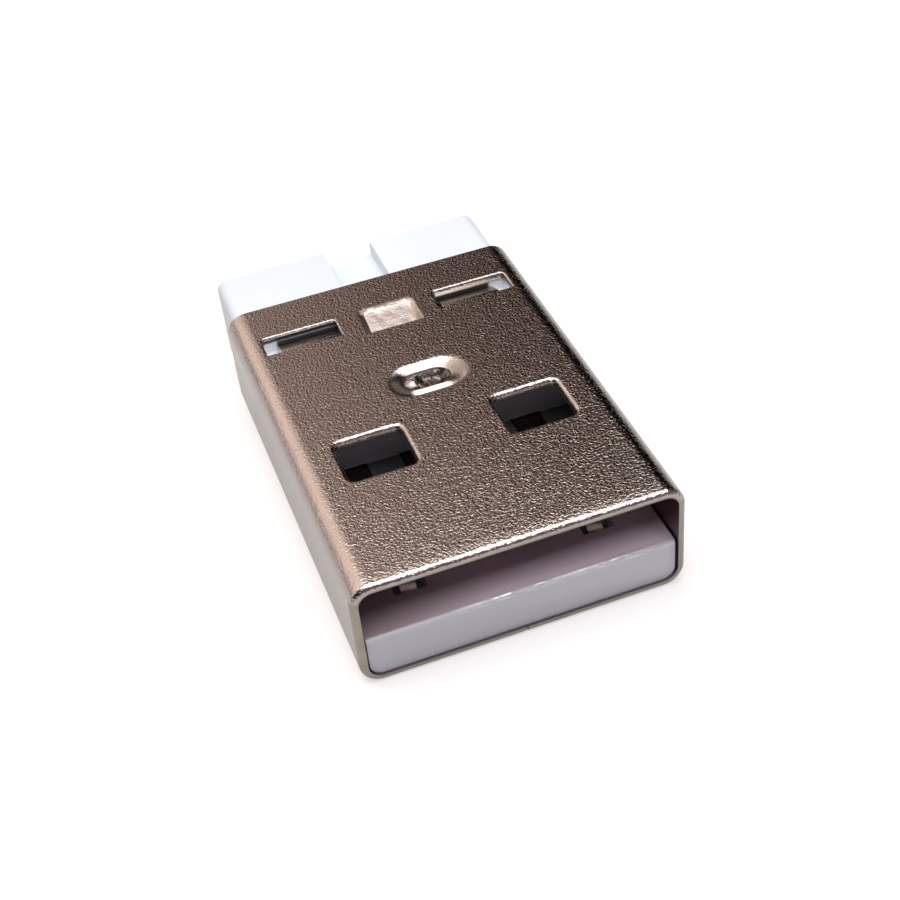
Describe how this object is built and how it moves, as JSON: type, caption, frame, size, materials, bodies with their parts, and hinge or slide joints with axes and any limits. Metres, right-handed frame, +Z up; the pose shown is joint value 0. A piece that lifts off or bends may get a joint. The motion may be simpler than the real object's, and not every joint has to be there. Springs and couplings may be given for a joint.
{
  "type": "usb type-a plug",
  "caption": "Folded metal shell with latch windows, staked to a white moulded insulator whose tongue carries flat spring contacts with solder tails at the rear",
  "frame": {"origin": "Middle of the width, in the plane of the mouth, on the shell's underside", "axes": "X across the plug, Y from the mouth to the rear, Z up from the underside; the contacts face +Z"},
  "size_m": [0.012, 0.0198, 0.0045],
  "materials": {
    "shell_metal": "satin nickel plate with a fine grain",
    "white_plastic": "moulded, slightly bluish white",
    "contact_metal": "thin gold flash over nickel on copper alloy"
  },
  "bodies": {
    "root": {"shell": "shell_metal", "insulator": "white_plastic", "contact_power": "contact_metal", "contact_data_minus": "contact_metal", "contact_data_plus": "contact_metal", "contact_ground": "contact_metal"}
  },
  "joints": []
}
